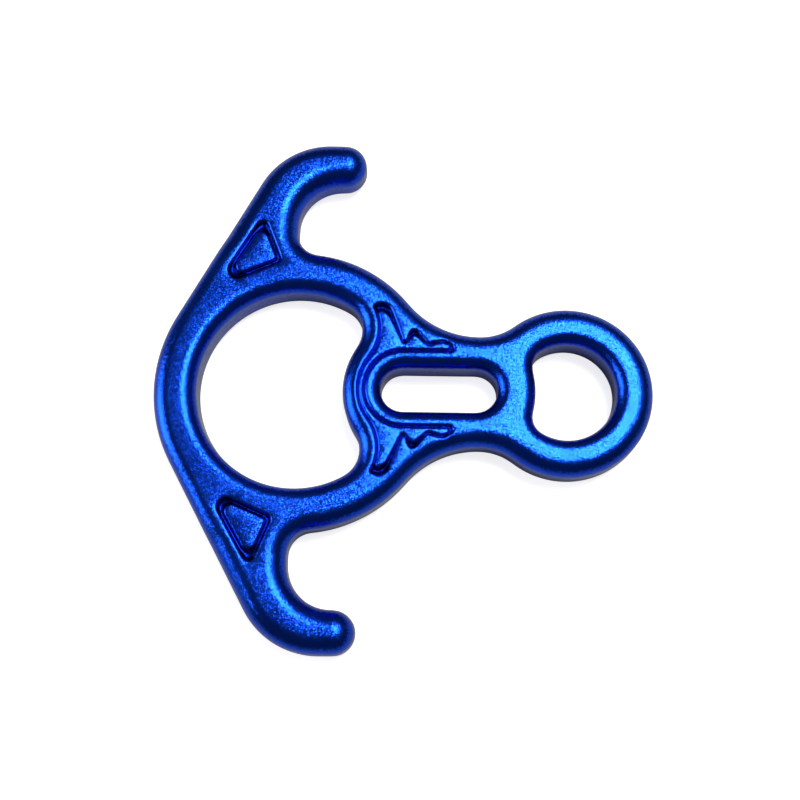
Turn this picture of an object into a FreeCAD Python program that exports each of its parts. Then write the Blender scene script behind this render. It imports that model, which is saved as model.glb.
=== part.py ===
import FreeCAD, Part
import math
import os

# Rope descender: a rescue figure eight with two ears, one solid piece of aluminium alloy.
# It lies flat.  X runs from the rope ring to the karabiner eye, Y from ear to ear, Z up through
# the thickness.  The origin is under the middle of the piece, on the plane it lies on.
#
# Every outline is a chain of circles joined by their common tangents.  A circle is
# (x, y, radius, turn): turn is +1 where the outline goes round it to the left, -1 to the right.
# Outlines run anticlockwise, so +1 is a convex stretch and -1 a hollow one.

# ---- driving dimensions, millimetres ----
LENGTH = 147.0                  # along X, back of the ring to the end of the eye
WIDTH = 154.0                   # along Y, over both ears
THICKNESS = 15.5

RING_X = -31.3                  # centre of the rope ring's bore
RING_BORE_R = 29.45
RING_OUTER_X = -30.8
RING_OUTER_R = 41.9
BACK_R = 45.3                   # arc along the back of the ring, between the ears
RING_BULGE_X = -17.57           # where the bridge swells into the bore
RING_BULGE_R = 23.7
RING_CORNER_R = 8.75

EYE_OUTER_R = 25.3
EYE_BORE_X = 48.3
EYE_BORE_R = 14.3
EYE_BULGE_X = 39.15             # where the bridge swells into the eye
EYE_BULGE_R = 26.2
EYE_CORNER_R = 5.45

NECK_X = 22.7                   # narrowest place of the neck
NECK_HALF_WIDTH = 16.7

SLOT_LEFT_X = 0.2               # centres of the slot's round ends
SLOT_RIGHT_X = 21.5
SLOT_R = 6.45

EAR_SHOULDER = (-23.1, 52.9)    # outer arc of an ear
EAR_SHOULDER_R = WIDTH / 2 - EAR_SHOULDER[1]
EAR_TIP = (-18.6, 70.45)        # round end of an ear
EAR_TIP_R = 6.45
CROOK = (-19.3, 51.0)           # hollow of an ear, where the rope is caught
CROOK_R = 13.0
EAR_ROOT_R = 7.0                # blend from the crook to the ring
EAR_FILLET_STARTS = 41.5        # distance from the X axis where the rounding starts to grow
EAR_FILLET_ENDS = 48.0          # distance where it has its full size

BODY_FILLET = 5.1               # rounding of the outside edges of ring, neck and eye
EAR_FILLET = 5.8                # the ears are rounded almost into bars
RING_BORE_FILLET = 4.4          # rounding of the edges of the rope ring's bore
HOLE_FILLET = 3.8               # rounding of the edges of the slot and the eye's bore

GROOVE_DEPTH = 1.0

# raised triangle on each ear, inside a triangular groove: corners and their radii
TRIANGLE = [(-56.9, 29.3), (-36.0, 38.15), (-42.35, 53.85)]
TRIANGLE_RADII = [3.0, 1.8, 2.15]
TRIANGLE_GROOVE = 1.8
TRIANGLE_PAD_RADII = [1.8, 1.2, 2.0]

# flame pad beside the slot: the arc round the slot, the wavy edge, and the long left edge
SLOT_ARC_GROOVE_R = 10.75
SLOT_ARC_PAD_R = 11.9
FLAME_WAVE_PAD = [
    (13.0, 12.55, 0.65, 1),
    (11.4, 11.65, 2.0, 1),
    (8.0, 13.8, 1.2, -1),
    (3.5, 14.8, 0.9, 1),
    (0.45, 14.1, 0.8, -1),
    (-6.7, 20.0, 3.0, 1),
    (-6.4, 22.6, 0.6, 1),
]
FLAME_WAVE_GROOVE = [
    (13.7, 12.2, 1.45, 1),
    (11.7, 12.05, 2.7, 1),
    (7.7, 14.75, 0.9, -1),
    (3.3, 16.3, 1.6, 1),
    (0.65, 14.95, 0.5, -1),
    (-6.5, 22.2, 3.7, 1),
    (-8.5, 24.75, 0.5, 1),
]
FLAME_CORNER = (-20.9, 17.9)    # centre that the left edge bends round, beside the ring's corner
FLAME_CORNER_GROOVE_R = 13.6
FLAME_CORNER_PAD_R = 14.6
FLAME_WAIST_X = 2.1             # centre of the left edge's arc at the waist
FLAME_WAIST_GROOVE_R = 15.5
FLAME_WAIST_PAD_R = 14.5

# ---- worked out from the driving dimensions ----
BACK_X = BACK_R - LENGTH / 2
EYE_X = LENGTH / 2 - EYE_OUTER_R
FLAT = 1e-6                     # tangent lines shorter than this are left out


# ---- plane geometry ----
def meeting_point(first, first_distance, second, second_distance):
    """The upper point at the two given distances from two centres."""
    dx = second[0] - first[0]
    dy = second[1] - first[1]
    span = math.hypot(dx, dy)
    along = (first_distance ** 2 - second_distance ** 2 + span ** 2) / (2 * span)
    across = math.sqrt(first_distance ** 2 - along ** 2)
    if dx < 0:
        across = -across
    x = first[0] + (along * dx - across * dy) / span
    y = first[1] + (along * dy + across * dx) / span
    return x, y


def common_tangent(first, second):
    """Where the outline leaves the first circle and where it reaches the second."""
    x1, y1, r1, turn1 = first
    x2, y2, r2, turn2 = second
    span = math.hypot(x2 - x1, y2 - y1)
    ux = (x2 - x1) / span
    uy = (y2 - y1) / span
    lean = max(-1.0, min(1.0, (turn1 * r1 - turn2 * r2) / span))
    rest = math.sqrt(1 - lean * lean)
    nx = lean * ux + rest * uy
    ny = lean * uy - rest * ux
    leave = (x1 + turn1 * r1 * nx, y1 + turn1 * r1 * ny)
    reach = (x2 + turn2 * r2 * nx, y2 + turn2 * r2 * ny)
    return leave, reach


def vector(point):
    return FreeCAD.Vector(point[0], point[1], 0)


def arc_edge(circle, start, end):
    """The stretch of a circle from start to end, taken the way the circle turns."""
    x, y, radius, turn = circle
    angle = math.atan2(start[1] - y, start[0] - x)
    sweep = math.atan2(end[1] - y, end[0] - x) - angle
    sweep = turn * ((turn * sweep) % (2 * math.pi))
    middle = angle + sweep / 2
    halfway = (x + radius * math.cos(middle), y + radius * math.sin(middle))
    return Part.Arc(vector(start), vector(halfway), vector(end)).toShape()


def outline(circles):
    """A closed wire round a chain of circles."""
    joins = []
    for i, circle in enumerate(circles):
        leave, reach = common_tangent(circle, circles[(i + 1) % len(circles)])
        if math.dist(leave, reach) < FLAT:
            reach = leave
        joins.append((leave, reach))
    edges = []
    for i, circle in enumerate(circles):
        leave, reach = joins[i]
        edges.append(arc_edge(circle, joins[i - 1][1], leave))
        if leave != reach:
            edges.append(Part.LineSegment(vector(leave), vector(reach)).toShape())
    return Part.Wire(edges)


def with_mirror(upper):
    """Adds the lower half of a chain whose first and last circles lie on the X axis."""
    lower = [(x, -y, radius, turn) for x, y, radius, turn in reversed(upper[1:-1])]
    return upper + lower


def rounded_triangle(corners, radii, inset):
    """The circles of a triangle moved inwards by inset, with its corners rounded."""
    circles = []
    for i in range(3):
        x, y = corners[i]
        before = math.atan2(corners[i - 1][1] - y, corners[i - 1][0] - x)
        after = math.atan2(corners[(i + 1) % 3][1] - y, corners[(i + 1) % 3][0] - x)
        opening = (before - after) % (2 * math.pi)
        middle = after + opening / 2
        reach = (radii[i] + inset) / math.sin(opening / 2)
        circles.append((x + reach * math.cos(middle), y + reach * math.sin(middle), radii[i], 1))
    return circles


# ---- outlines ----
def neck_blend(centre_x, radius):
    """The hollow circle from the neck's waist to a round outline further along X."""
    reach = NECK_X - centre_x
    rise = reach ** 2 + NECK_HALF_WIDTH ** 2 - radius ** 2
    blend = rise / (2 * (radius - NECK_HALF_WIDTH))
    return NECK_X, NECK_HALF_WIDTH + blend, blend, -1


def body_outline():
    root_x = CROOK[0] - CROOK_R + EAR_ROOT_R
    root_y = math.sqrt((RING_OUTER_R + EAR_ROOT_R) ** 2 - (root_x - RING_OUTER_X) ** 2)
    return with_mirror([
        (EYE_X, 0, EYE_OUTER_R, 1),
        neck_blend(EYE_X, EYE_OUTER_R),
        neck_blend(RING_OUTER_X, RING_OUTER_R),
        (RING_OUTER_X, 0.0, RING_OUTER_R, 1),
        (root_x, root_y, EAR_ROOT_R, -1),
        (CROOK[0], CROOK[1], CROOK_R, -1),
        (EAR_TIP[0], EAR_TIP[1], EAR_TIP_R, 1),
        (EAR_SHOULDER[0], EAR_SHOULDER[1], EAR_SHOULDER_R, 1),
        (BACK_X, 0, BACK_R, 1),
    ])


def ring_bore_outline():
    bulge_x = RING_BULGE_X + RING_BULGE_R
    x, y = meeting_point((RING_X, 0), RING_BORE_R - RING_CORNER_R,
                         (bulge_x, 0), RING_BULGE_R + RING_CORNER_R)
    return with_mirror([
        (bulge_x, 0, RING_BULGE_R, -1),
        (x, y, RING_CORNER_R, 1),
        (RING_X, 0, RING_BORE_R, 1),
    ])


def eye_bore_outline():
    bulge_x = EYE_BULGE_X - EYE_BULGE_R
    x, y = meeting_point((bulge_x, 0), EYE_BULGE_R + EYE_CORNER_R,
                         (EYE_BORE_X, 0), EYE_BORE_R - EYE_CORNER_R)
    return with_mirror([
        (EYE_BORE_X, 0, EYE_BORE_R, 1),
        (x, y, EYE_CORNER_R, 1),
        (bulge_x, 0, EYE_BULGE_R, -1),
    ])


def slot_outline():
    return [(SLOT_RIGHT_X, 0, SLOT_R, 1), (SLOT_LEFT_X, 0, SLOT_R, 1)]


def flame_outline(slot_arc_r, wave, corner_r, waist_r):
    """The flame pad or its groove: two flames joined by a waist round the slot's left end."""
    return with_mirror(
        [(SLOT_LEFT_X, 0, slot_arc_r, -1)]
        + wave
        + [(FLAME_CORNER[0], FLAME_CORNER[1], corner_r, -1), (FLAME_WAIST_X, 0, waist_r, 1)]
    )


def flame_groove():
    groove = flame_outline(SLOT_ARC_GROOVE_R, FLAME_WAVE_GROOVE,
                           FLAME_CORNER_GROOVE_R, FLAME_WAIST_GROOVE_R)
    pad = flame_outline(SLOT_ARC_PAD_R, FLAME_WAVE_PAD,
                        FLAME_CORNER_PAD_R, FLAME_WAIST_PAD_R)
    return [outline(groove), outline(pad)]


def triangle_groove(side):
    """The triangular groove of the ear on the given side of the X axis."""
    groove = rounded_triangle(TRIANGLE, TRIANGLE_RADII, 0)
    pad = rounded_triangle(TRIANGLE, TRIANGLE_PAD_RADII, TRIANGLE_GROOVE)
    wires = [outline(groove), outline(pad)]
    if side < 0:
        origin = FreeCAD.Vector(0, 0, 0)
        wires = [wire.mirror(origin, FreeCAD.Vector(0, 1, 0)) for wire in wires]
    return wires


# ---- solids ----
def prism(wire, bottom, height):
    """The solid between bottom and bottom + height whose outline is the wire."""
    face = Part.Face(wire)
    face.translate(FreeCAD.Vector(0, 0, bottom))
    return face.extrude(FreeCAD.Vector(0, 0, height))


def outer_fillet_at(point):
    """The rounding grows from the ring's to the ears' along the root of each ear."""
    span = EAR_FILLET_ENDS - EAR_FILLET_STARTS
    share = min(1.0, max(0.0, (abs(point.y) - EAR_FILLET_STARTS) / span))
    return BODY_FILLET + share * (EAR_FILLET - BODY_FILLET)


def hole_fillet_at(point):
    if point.x < SLOT_LEFT_X - SLOT_R:
        return RING_BORE_FILLET
    return HOLE_FILLET


def rim_radii(plate):
    """Edge number and rounding at both ends, for each edge of the two flat faces."""
    flats = [face for face in plate.Faces if face.BoundBox.ZLength < FLAT]
    rims = [edge for face in flats for edge in face.Edges]
    outer_rims = [edge for face in flats for edge in face.OuterWire.Edges]
    radii = []
    for number, edge in enumerate(plate.Edges, start=1):
        if any(edge.isSame(rim) for rim in outer_rims):
            first = outer_fillet_at(edge.firstVertex(True).Point)
            last = outer_fillet_at(edge.lastVertex(True).Point)
            radii.append((number, first, last))
        elif any(edge.isSame(rim) for rim in rims):
            radius = hole_fillet_at(edge.CenterOfMass)
            radii.append((number, radius, radius))
    return radii


def rounded_plate():
    """The plate with its three openings and all its edges rounded."""
    blank = prism(outline(body_outline()), 0, THICKNESS)
    for opening in (ring_bore_outline(), slot_outline(), eye_bore_outline()):
        blank = blank.cut(prism(outline(opening), 0, THICKNESS))
    document = FreeCAD.newDocument()
    plate = document.addObject("Part::Feature", "plate")
    plate.Shape = blank
    rounding = document.addObject("Part::Fillet", "rounding")
    rounding.Base = plate
    rounding.Edges = rim_radii(plate.Shape)
    document.recompute()
    return rounding.Shape.Solids[0]


def descender_body():
    body = rounded_plate()
    for edge_of_groove, edge_of_pad in (flame_groove(), triangle_groove(1), triangle_groove(-1)):
        for bottom in (0, THICKNESS - GROOVE_DEPTH):
            groove = prism(edge_of_groove, bottom, GROOVE_DEPTH)
            body = body.cut(groove.cut(prism(edge_of_pad, bottom, GROOVE_DEPTH)))
    return body.Solids[0]


os.makedirs("parts", exist_ok=True)
body = descender_body()
body.exportStep("parts/descender_body.step")
print("valid", body.isValid(), "volume, cm3", round(body.Volume / 1000, 1))
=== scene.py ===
import math

import bmesh
import bpy
import numpy as np
from mathutils import Matrix, Vector
from mathutils.geometry import delaunay_2d_cdt
from mathutils.kdtree import KDTree


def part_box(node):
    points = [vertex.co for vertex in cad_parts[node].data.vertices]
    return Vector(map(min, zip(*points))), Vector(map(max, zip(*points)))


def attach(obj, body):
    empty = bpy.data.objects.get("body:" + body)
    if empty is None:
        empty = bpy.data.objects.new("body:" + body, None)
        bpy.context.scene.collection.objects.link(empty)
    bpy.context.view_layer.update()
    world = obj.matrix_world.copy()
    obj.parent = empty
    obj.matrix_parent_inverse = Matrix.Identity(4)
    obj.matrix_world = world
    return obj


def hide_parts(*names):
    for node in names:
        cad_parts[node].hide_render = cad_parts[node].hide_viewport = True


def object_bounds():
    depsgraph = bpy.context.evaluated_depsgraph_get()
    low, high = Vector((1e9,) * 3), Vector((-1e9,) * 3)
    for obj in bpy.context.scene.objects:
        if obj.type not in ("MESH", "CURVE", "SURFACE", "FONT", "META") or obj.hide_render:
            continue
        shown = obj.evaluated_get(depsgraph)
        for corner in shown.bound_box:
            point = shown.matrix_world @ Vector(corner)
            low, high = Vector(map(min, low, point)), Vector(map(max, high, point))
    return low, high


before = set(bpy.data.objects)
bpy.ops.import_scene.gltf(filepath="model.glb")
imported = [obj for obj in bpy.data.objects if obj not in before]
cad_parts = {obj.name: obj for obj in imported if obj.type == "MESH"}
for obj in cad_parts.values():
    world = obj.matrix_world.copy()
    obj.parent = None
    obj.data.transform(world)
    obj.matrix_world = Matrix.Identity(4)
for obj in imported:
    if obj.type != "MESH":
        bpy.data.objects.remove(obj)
cad_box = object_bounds()

MM = 0.001
CAD_NODE = "descender_body"

# ---- rounding of the edges, as the CAD part has it, in metres ----
BODY_ROUNDING = 5.1 * MM
RING_BORE_ROUNDING = 4.4 * MM
HOLE_ROUNDING = 3.8 * MM            # of the slot and the eye
EAR_ROUNDING = 5.8 * MM
EAR_ROUNDING_STARTS = 41.5 * MM     # distance from the X axis where it starts to grow
EAR_ROUNDING_ENDS = 48.0 * MM
RING_SIDE = -9.0 * MM               # only the ring's bore has its middle at a lower X

# ---- reading the CAD mesh, in metres ----
WELD = 1e-5 * MM                    # joins vertices that are at one place
UPRIGHT = 0.02                      # a face is upright if its normal's Z is less
RIMS_BELOW_TOP = 0.5 * MM           # where the grooves' outlines are read
OUTLINE_STEP = 0.8 * MM             # between neighbouring points of an outline
OUTLINE_BLUR = 1.2 * MM             # evens out the flats of the CAD mesh's arcs
OUTLINE_READINGS = 8                # points per step where distances to it are measured
RIM_STEP = 0.3 * MM                 # the same three for a groove's rim
RIM_BLUR = 0.25 * MM
RIM_READINGS = 6

# ---- the skin's mesh, in metres ----
WALL_ROWS = 3                       # rows of faces from mid-height to the rounding
SIDE_ANGLES = np.radians([7, 14, 21, 28, 35, 42, 49])       # up the rounding, by rows
TOP_ANGLES = np.radians([56, 63, 70, 77, 84, 90])           # the rest of the rounding
RIM_OFFSETS = np.array([0, 0.16, -0.16, 0.32, -0.34, 0.5]) * MM     # of rows beside a rim
GROOVE_STEP = 0.34 * MM             # of the grid in and beside the grooves
GROOVE_REACH = 0.6 * MM             # how far that grid reaches outside a groove
FLAT_STEP = 2.2 * MM                # of the grid on the plain flat faces
FLAT_CLEARANCE = FLAT_STEP / 3      # between that grid and the rounding
RIM_GAP = 0.45 * GROOVE_STEP        # least distance between a rim's points and the ones before
GROOVE_GAP = 0.6 * GROOVE_STEP      # the same for the other points
TOP_GAP = 0.4 * OUTLINE_STEP
FLAT_GAP = 0.6 * FLAT_STEP
TRIANGULATION_SCALE = 1 / MM        # the triangulation works in millimetres
TRIANGULATION_TOLERANCE = 1e-7

# ---- the grooves, in metres ----
GROOVE_DEPTH = 1.4 * MM             # at most
GROOVE_SLOPE = 1.7                  # of the sides
GROOVE_SOFTNESS = 0.17 * MM         # of the rim
GROOVE_SHADE_FROM = 0.05 * MM        # inside the rim, where the grooves' painted shade starts
GROOVE_SHADE_WITHIN = 0.35 * MM      # from there to the fullest painted shade


# ---- lines read from the CAD mesh ----
def chains(edges):
    """Closed loops of points from pairs of neighbouring points."""
    near = {}
    for a, b in edges:
        near.setdefault(a, []).append(b)
        near.setdefault(b, []).append(a)
    loops = []
    while near:
        here = next(iter(near))
        loop = []
        while here:
            loop.append(here)
            onward = [point for point in near.pop(here) if point in near]
            here = onward[0] if onward else None
        loops.append(np.array(loop))
    return loops


def upright_loops(node, height):
    """The closed lines along which a level plane cuts the node's upright faces."""
    cut = bmesh.new()
    cut.from_mesh(node.data)
    bmesh.ops.remove_doubles(cut, verts=cut.verts, dist=WELD)
    geometry = cut.verts[:] + cut.edges[:] + cut.faces[:]
    level = {"plane_co": (0, 0, height), "plane_no": (0, 0, 1)}
    found = bmesh.ops.bisect_plane(cut, geom=geometry, **level)["geom_cut"]
    pairs = []
    for edge in found:
        if isinstance(edge, bmesh.types.BMEdge):
            if all(abs(face.normal.z) < UPRIGHT for face in edge.link_faces):
                pairs.append([tuple(vertex.co.xy) for vertex in edge.verts])
    cut.free()
    return chains(pairs)


def evened(loop, step, blur):
    """A closed loop without its facets, at even steps."""
    closed = np.vstack([loop, loop[:1]])
    along = np.concatenate([[0], np.cumsum(np.hypot(*np.diff(closed, axis=0).T))])
    places = np.linspace(0, along[-1], round(along[-1] / step), endpoint=False)
    line = np.interp(places, along, closed[:, 0]) + 1j * np.interp(places, along, closed[:, 1])
    # What the blur takes away is blurred too and put back, so that the arcs keep their radius.
    kept = np.exp(-2 * (math.pi * blur * np.fft.fftfreq(len(line), step)) ** 2)
    line = np.fft.ifft(np.fft.fft(line) * (1 - (1 - kept) ** 2))
    return np.column_stack([line.real, line.imag])


def area(loop):
    """The area inside a loop, negative where it runs clockwise."""
    x, y = loop.T
    return np.sum(x * np.roll(y, -1) - y * np.roll(x, -1)) / 2


def left_of(loop):
    """Unit normals to the left of a closed loop."""
    ahead = np.roll(loop, -1, axis=0) - np.roll(loop, 1, axis=0)
    ahead /= np.hypot(*ahead.T)[:, None]
    return np.column_stack([-ahead[:, 1], ahead[:, 0]])


def solid_on_left(loops):
    """The outlines turned so that the solid is on their left, the outer one first."""
    loops = sorted(loops, key=lambda loop: -abs(area(loop)))
    turned = [loops[0] if area(loops[0]) > 0 else loops[0][::-1]]
    return turned + [loop[::-1] if area(loop) > 0 else loop for loop in loops[1:]]


def rounding_along(loop, outer):
    """The radius of the rounded edge at each point of an outline."""
    if not outer:
        in_ring = loop[:, 0].mean() < RING_SIDE
        return np.full(len(loop), RING_BORE_ROUNDING if in_ring else HOLE_ROUNDING)
    share = (np.abs(loop[:, 1]) - EAR_ROUNDING_STARTS) / (EAR_ROUNDING_ENDS - EAR_ROUNDING_STARTS)
    share = np.clip(share, 0, 1)
    share = share * share * (3 - 2 * share)
    return BODY_ROUNDING + share * (EAR_ROUNDING - BODY_ROUNDING)


def roundings_along(loops):
    """The radii along each outline, of which the first is the outer one."""
    return [rounding_along(loop, number == 0) for number, loop in enumerate(loops)]


# ---- the relief of the upper face ----
def tree_of(points):
    """A search tree of points on the plan."""
    tree = KDTree(len(points))
    for number, (x, y) in enumerate(points):
        tree.insert((x, y, 0), number)
    tree.balance()
    return tree


def nearest(tree, points):
    """Number and distance of the tree's nearest point, for each of the points."""
    found = [tree.find((x, y, 0)) for x, y in points]
    numbers = np.array([number for place, number, distance in found])
    distances = np.array([distance for place, number, distance in found])
    return numbers, distances


def inside(points, loops):
    """True for the points inside an odd number of loops."""
    odd = np.zeros(len(points), bool)
    for loop in loops:
        onward = np.roll(loop, -1, axis=0)
        for (x1, y1), (x2, y2) in zip(loop, onward):
            if y1 != y2:
                crosses = (points[:, 1] > min(y1, y2)) & (points[:, 1] <= max(y1, y2))
                odd ^= crosses & (points[:, 0] < x1 + (points[:, 1] - y1) * (x2 - x1) / (y2 - y1))
    return odd


class Relief:
    """The height of the upper face: flat, rounded towards the outlines, grooved inside the rims."""

    def __init__(self, top, outlines, roundings, rims):
        self.top = top
        self.outline_tree = tree_of(np.vstack(outlines))
        self.roundings = np.concatenate(roundings)
        self.rims = rims
        self.rim_tree = tree_of(np.vstack([evened(rim, RIM_STEP / RIM_READINGS, 0) for rim in rims]))

    def edge_gap(self, points):
        """Distance to the rounded edge: negative on the edge."""
        number, distance = nearest(self.outline_tree, points)
        return distance - self.roundings[number]

    def groove_reach(self, points):
        """Distance to a groove's rim, positive inside the groove."""
        distance = nearest(self.rim_tree, points)[1]
        return np.where(inside(points, self.rims), distance, -distance)

    def painted_shade_shares(self, points):
        """How much of the grooves' painted shade the points have: 0 outside, 1 well inside."""
        return np.clip((self.groove_reach(points) - GROOVE_SHADE_FROM) / GROOVE_SHADE_WITHIN, 0, 1)

    def heights(self, points):
        """The height at each of the points."""
        number, distance = nearest(self.outline_tree, points)
        radius = self.roundings[number]
        fall = np.clip(radius - distance, 0, radius)
        height = self.top - radius + np.sqrt(radius ** 2 - fall ** 2)
        soft = GROOVE_SOFTNESS * np.logaddexp(0, self.groove_reach(points) / GROOVE_SOFTNESS)
        return height - GROOVE_DEPTH * np.tanh(GROOVE_SLOPE * soft / GROOVE_DEPTH)


# ---- the skin ----
def grid(low, high, step):
    """Points of a grid of equilateral triangles that covers a box."""
    rows = np.arange(low[1], high[1], step * math.sqrt(3) / 2)
    columns = np.arange(low[0], high[0], step)
    x, y = np.meshgrid(columns, rows)
    x[1::2] += step / 2
    return np.column_stack([x.ravel(), y.ravel()])


def apart(batches):
    """Points of all batches that keep each batch's distance from the points before them."""
    size = max(distance for points, distance in batches)
    cells = {}
    kept = []
    for points, distance in batches:
        for x, y in points:
            column = math.floor(x / size)
            row = math.floor(y / size)
            around = [cells.get((column + i, row + j), ()) for i in (-1, 0, 1) for j in (-1, 0, 1)]
            if all(math.hypot(x - u, y - v) >= distance for cell in around for u, v in cell):
                cells.setdefault((column, row), []).append((x, y))
                kept.append((x, y))
    return np.array(kept)


def face_points(relief, outlines, roundings, edge_rows):
    """Points of the upper face, the sides' highest rows first, close together near the grooves."""
    rim_rows = []
    for rim in relief.rims:
        for offset in RIM_OFFSETS:
            rim_rows.append(rim + offset * left_of(rim))

    all_rims = np.vstack(relief.rims)
    fine = grid(all_rims.min(0) - GROOVE_REACH, all_rims.max(0) + GROOVE_REACH, GROOVE_STEP)
    fine = fine[relief.groove_reach(fine) > -GROOVE_REACH]

    tops = []
    for loop, radius in zip(outlines, roundings):
        for angle in TOP_ANGLES:
            tops.append(loop + (radius * (1 - math.cos(angle)))[:, None] * left_of(loop))
    tops = np.vstack(tops)
    tops = tops[relief.groove_reach(tops) < -GROOVE_REACH]

    flat = grid(outlines[0].min(0), outlines[0].max(0), FLAT_STEP)
    flat = flat[relief.edge_gap(flat) > FLAT_CLEARANCE]
    flat = flat[inside(flat, edge_rows)]
    return apart([
        (np.vstack(edge_rows), 0),
        (np.vstack(rim_rows), RIM_GAP),
        (fine, GROOVE_GAP),
        (tops, TOP_GAP),
        (flat, FLAT_GAP),
    ])


def side_levels(radius, middle, top):
    """Inset and height of each row above mid-height, up the wall and the steep part of the rounding."""
    wall_top = top - radius
    levels = []
    for row in range(1, WALL_ROWS + 1):
        levels.append((np.zeros(len(radius)), middle + (wall_top - middle) * row / WALL_ROWS))
    for angle in SIDE_ANGLES:
        levels.append((radius * (1 - math.cos(angle)), wall_top + radius * math.sin(angle)))
    return levels


def sides(outlines, roundings, middle, top):
    """The sides above mid-height: vertices, faces, and the numbers and places of the highest rows.

    The vertices at mid-height come first.
    """
    points = [np.column_stack([loop, np.full(len(loop), middle)]) for loop in outlines]
    faces = []
    highest = []
    start = 0
    total = sum(map(len, outlines))
    for loop, radius in zip(outlines, roundings):
        count = len(loop)
        row = np.arange(start, start + count)
        start += count
        for inset, height in side_levels(radius, middle, top):
            place = loop + inset[:, None] * left_of(loop)
            points.append(np.column_stack([place, height]))
            above = np.arange(total, total + count)
            total += count
            faces += np.column_stack([row, np.roll(row, -1), np.roll(above, -1), above]).tolist()
            row = above
        highest.append((row, place))
    return np.vstack(points), faces, highest


def upper_face(relief, outlines, roundings, highest, total):
    """The face between the sides' highest rows: places of its new vertices, and its triangles."""
    row_numbers = np.concatenate([row for row, place in highest])
    edge_rows = [place for row, place in highest]
    edges = []
    start = 0
    for row in edge_rows:
        ring = np.arange(start, start + len(row))
        edges += np.column_stack([ring, np.roll(ring, -1)]).tolist()
        start += len(row)

    spread = face_points(relief, outlines, roundings, edge_rows) * TRIANGULATION_SCALE
    spread = [Vector(point) for point in spread]
    made, _, triangles, origins, _, _ = delaunay_2d_cdt(spread, edges, [], 0, TRIANGULATION_TOLERANCE)
    places = np.array([(point.x, point.y) for point in made]) / TRIANGULATION_SCALE
    centres = places[np.array(triangles)].mean(axis=1)
    triangles = [triangle for triangle, kept in zip(triangles, inside(centres, edge_rows)) if kept]

    numbers = np.empty(len(places), int)
    fresh = []
    for i, origin in enumerate(origins):
        if origin and min(origin) < len(row_numbers):
            numbers[i] = row_numbers[min(origin)]
        else:
            numbers[i] = total + len(fresh)
            fresh.append(i)
    return places[fresh], [[int(numbers[i]) for i in triangle] for triangle in triangles]


def upper_half(node, low, high):
    """The skin above mid-height: vertices, faces, how many vertices are at mid-height, shares of
    painted shade.

    The vertices at mid-height come first. A share of painted shade is 0 outside the grooves and 1 well
    inside them.
    """
    middle = (low.z + high.z) / 2
    rough = solid_on_left(upright_loops(node, middle))
    outlines = [evened(loop, OUTLINE_STEP, OUTLINE_BLUR) for loop in rough]
    roundings = roundings_along(outlines)
    dense = [evened(loop, OUTLINE_STEP / OUTLINE_READINGS, OUTLINE_BLUR) for loop in rough]
    rims = [evened(loop, RIM_STEP, RIM_BLUR) for loop in upright_loops(node, high.z - RIMS_BELOW_TOP)]
    relief = Relief(high.z, dense, roundings_along(dense), rims)

    points, faces, highest = sides(outlines, roundings, middle, high.z)
    places, triangles = upper_face(relief, outlines, roundings, highest, len(points))
    # painted shade of the grooves: none on the sides
    shade_shares = np.concatenate([np.zeros(len(points)), relief.painted_shade_shares(places)])
    points = np.vstack([points, np.column_stack([places, relief.heights(places)])])
    return points, faces + triangles, sum(map(len, outlines)), shade_shares


def add_skin():
    """The descender's visible skin: the CAD outlines with smooth arcs and softly cut grooves."""
    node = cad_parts[CAD_NODE]
    low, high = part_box(CAD_NODE)
    points, faces, shared, shade_shares = upper_half(node, low, high)
    mirrored = points[shared:] * (1, 1, -1) + (0, 0, low.z + high.z)
    shift = len(points) - shared
    below = [[i if i < shared else i + shift for i in reversed(face)] for face in faces]
    mesh = bpy.data.meshes.new("descender")
    mesh.from_pydata(np.vstack([points, mirrored]).tolist(), [], faces + below)
    mesh.shade_smooth()
    # the groove attribute carries each vertex's share of painted shade in the grooves
    groove = mesh.attributes.new("groove", "FLOAT", "POINT")
    groove.data.foreach_set("value", np.concatenate([shade_shares, shade_shares[shared:]]))
    skin = bpy.data.objects.new("descender", mesh)
    bpy.context.scene.collection.objects.link(skin)
    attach(skin, "root")
    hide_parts(CAD_NODE)
    return skin


# ---- material ----
BLUE = (0.0045, 0.045, 0.50, 1)         # dyed oxide over aluminium
PALE_BLUE = (0.0065, 0.060, 0.56, 1)    # where the dye is thinner
GROOVE_PAINTED_SHADE = (0.001, 0.008, 0.16, 1)   # painted shade in the grooves, a darker blue than the metal's own
EDGE_TINT = (1.0, 0.95, 0.5, 1)         # takes blue out of the reflection at grazing angles
ROUGHNESS = 0.24
ROUGHNESS_SPREAD = 0.03             # either way, by patches
PATCHES = 90                        # per metre, of slightly different sheen and dye
PATCH_DETAIL = 4.0
PATCH_RANGE = (0.3, 0.7)            # their noise at the least and the most roughness
GRAINS = 5200                       # per metre, of the blasted surface
GRAIN_TILT = 0.235
CELL_COLOUR_MIDDLE = (0.5, 0.5, 0.5)
TOOL_LINES = 1700                   # per metre up the walls
TOOL_LINE_DETAIL = 2.0
TOOL_LINE_HEIGHT = 0.02 * MM
TOOL_LINE_STRETCH = (0.02, 0.02, 1)     # draws the noise out into level lines
WALL_NORMALS = (0.1, 0.3)           # Z of the normals over which the lines fade away


def new_material(name):
    """A material, its node tree and its shader."""
    material = bpy.data.materials.new(name)
    material.use_nodes = True
    return material, material.node_tree, material.node_tree.nodes["Principled BSDF"]


def feed(tree, node, inputs):
    """Sets a node's inputs to plain values, or links them to other nodes' outputs."""
    for key, value in inputs.items():
        if isinstance(value, bpy.types.NodeSocket):
            tree.links.new(value, node.inputs[key])
        else:
            node.inputs[key].default_value = value


def add_node(tree, kind, inputs, **settings):
    """A new node with its settings and its inputs."""
    node = tree.nodes.new(kind)
    for name, value in settings.items():
        setattr(node, name, value)
    feed(tree, node, inputs)
    return node


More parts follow.
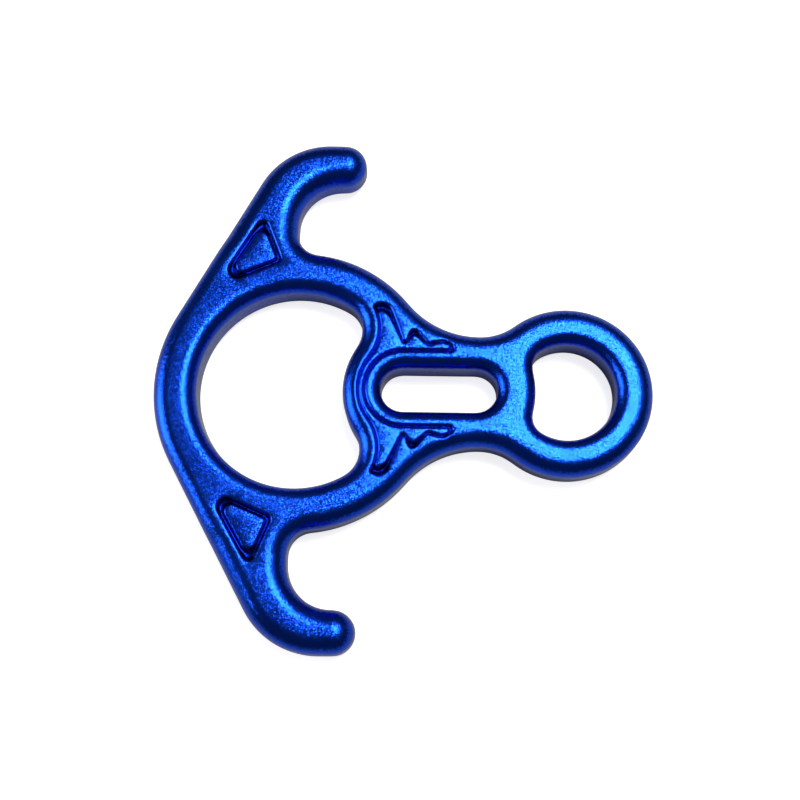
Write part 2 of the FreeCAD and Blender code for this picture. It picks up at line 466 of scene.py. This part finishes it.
def blue_anodised():
    """Bead-blasted, blue anodised aluminium: small tilted grains, tool lines on the upright walls."""
    material, tree, shader = new_material("blue_anodised")

    def noise(vector, scale, detail):
        inputs = {"Vector": vector, "Scale": scale, "Detail": detail}
        return add_node(tree, "ShaderNodeTexNoise", inputs).outputs["Fac"]

    def spread(value, ends, to_ends):
        inputs = {"Value": value}
        inputs["From Min"], inputs["From Max"] = ends
        inputs["To Min"], inputs["To Max"] = to_ends
        return add_node(tree, "ShaderNodeMapRange", inputs).outputs["Result"]

    def vector_math(operation, *vectors):
        inputs = dict(enumerate(vectors))
        return add_node(tree, "ShaderNodeVectorMath", inputs, operation=operation).outputs["Vector"]

    def mix(factor, first, second):
        inputs = {"Factor": factor, "A": first, "B": second}
        return add_node(tree, "ShaderNodeMix", inputs, data_type="RGBA").outputs["Result"]

    place = add_node(tree, "ShaderNodeTexCoord", {}).outputs["Object"]
    surface = add_node(tree, "ShaderNodeNewGeometry", {}).outputs["Normal"]

    cells = add_node(tree, "ShaderNodeTexVoronoi", {"Vector": place, "Scale": GRAINS})
    centred = vector_math("SUBTRACT", cells.outputs["Color"], CELL_COLOUR_MIDDLE)
    tilt = vector_math("MULTIPLY", centred, (GRAIN_TILT, GRAIN_TILT, GRAIN_TILT))
    grained = vector_math("NORMALIZE", vector_math("ADD", surface, tilt))

    absolute = vector_math("ABSOLUTE", surface)
    upright = add_node(tree, "ShaderNodeSeparateXYZ", {0: absolute}).outputs["Z"]
    stretched = vector_math("MULTIPLY", place, TOOL_LINE_STRETCH)
    bump = add_node(tree, "ShaderNodeBump", {
        "Distance": TOOL_LINE_HEIGHT,
        "Strength": spread(upright, WALL_NORMALS, (1, 0)),
        "Height": noise(stretched, TOOL_LINES, TOOL_LINE_DETAIL),
        "Normal": grained,
    })

    patches = noise(place, PATCHES, PATCH_DETAIL)
    roughness_range = (ROUGHNESS - ROUGHNESS_SPREAD, ROUGHNESS + ROUGHNESS_SPREAD)
    # painted shade: the groove attribute mixes the darker painted blue into the grooves
    groove_shade = add_node(tree, "ShaderNodeAttribute", {}, attribute_name="groove").outputs["Fac"]
    feed(tree, shader, {
        "Metallic": 1.0,
        "Specular Tint": EDGE_TINT,
        "Base Color": mix(groove_shade, mix(patches, BLUE, PALE_BLUE), GROOVE_PAINTED_SHADE),
        "Roughness": spread(patches, PATCH_RANGE, roughness_range),
        "Normal": bump.outputs["Normal"],
    })
    return material


# ---- the photograph's view, floor and light ----
CAMERA_PLACE = Vector((0.0089, -0.0864, 0.3873))
CAMERA_TILT = 0.2192                # radians; leans the view towards +Y
CAMERA_ROLL = 0.0215                # leans it towards -X
CAMERA_TURN = 0.0143                # about the upright
LENS_MM = 59.05
SENSOR_MM = 36.0
FLOOR_REACH = 3.0                   # metres each way
FLOOR_GAP = 0.1 * MM                # under the descender
FLOOR_COLOUR = (0.6, 0.6, 0.6, 1)
FLOOR_ROUGHNESS = 0.9
FLOOR_GLOW = 0.8                    # seen by the camera only
WORLD_STRENGTH = 0.10
WHITE = (1, 1, 1, 1)
# Degrees from the zenith, distance from the origin and size in metres.
SOFTBOXES = {
    "main": {"east": 13.5, "north": 13, "reach": 1.0, "width": 0.31, "depth": 0.32, "radiance": 27},
    "halo": {"east": 18, "north": 16, "reach": 1.1, "width": 0.9, "depth": 0.9, "radiance": 1.0},
    "west": {"east": -70, "north": 0, "reach": 0.9, "width": 0.45, "depth": 0.5, "radiance": 7},
}


def add_camera():
    """The camera at the photograph's viewing angle."""
    data = bpy.data.cameras.new("camera")
    data.sensor_width = SENSOR_MM
    data.lens = LENS_MM
    camera = bpy.data.objects.new("camera", data)
    turn = Matrix.Rotation(CAMERA_TURN, 4, "Z")
    tilt = Matrix.Rotation(CAMERA_TILT, 4, "X")
    roll = Matrix.Rotation(CAMERA_ROLL, 4, "Y")
    camera.matrix_world = Matrix.Translation(CAMERA_PLACE) @ turn @ tilt @ roll
    bpy.context.scene.collection.objects.link(camera)
    bpy.context.scene.camera = camera


def add_softbox(name, east, north, reach, width, depth, radiance):
    """An area light that faces the origin, east and north of the zenith by angles in degrees."""
    away = Vector((math.tan(math.radians(east)), math.tan(math.radians(north)), 1)).normalized()
    data = bpy.data.lights.new(name, "AREA")
    data.shape = "RECTANGLE"
    data.size = width
    data.size_y = depth
    data.energy = radiance * math.pi * width * depth
    lamp = bpy.data.objects.new(name, data)
    turn = away.to_track_quat("Z", "Y").to_matrix().to_4x4()
    lamp.matrix_world = Matrix.Translation(reach * away) @ turn
    bpy.context.scene.collection.objects.link(lamp)


def add_floor():
    """A plain pale floor that looks brighter to the camera than it is in reflections."""
    level = cad_box[0][2] - FLOOR_GAP
    corners = [(-1, -1), (1, -1), (1, 1), (-1, 1)]
    places = [(x * FLOOR_REACH, y * FLOOR_REACH, level) for x, y in corners]
    mesh = bpy.data.meshes.new("floor")
    mesh.from_pydata(places, [], [(0, 1, 2, 3)])
    floor = bpy.data.objects.new("floor", mesh)
    bpy.context.scene.collection.objects.link(floor)
    material, tree, shader = new_material("floor")
    seen = add_node(tree, "ShaderNodeLightPath", {}).outputs["Is Camera Ray"]
    glow = add_node(tree, "ShaderNodeMath", {0: seen, 1: FLOOR_GLOW}, operation="MULTIPLY")
    feed(tree, shader, {
        "Base Color": FLOOR_COLOUR,
        "Roughness": FLOOR_ROUGHNESS,
        "Specular IOR Level": 0.0,
        "Emission Color": WHITE,
        "Emission Strength": glow.outputs["Value"],
    })
    mesh.materials.append(material)


def add_world():
    """Dim, even white light from all round."""
    world = bpy.data.worlds.new("world")
    world.use_nodes = True
    background = world.node_tree.nodes["Background"]
    feed(world.node_tree, background, {"Color": WHITE, "Strength": WORLD_STRENGTH})
    bpy.context.scene.world = world


skin = add_skin()
skin.data.materials.append(blue_anodised())
add_camera()
add_floor()
add_world()
for name, softbox in SOFTBOXES.items():
    add_softbox(name, **softbox)
bpy.context.scene.view_settings.view_transform = "Standard"
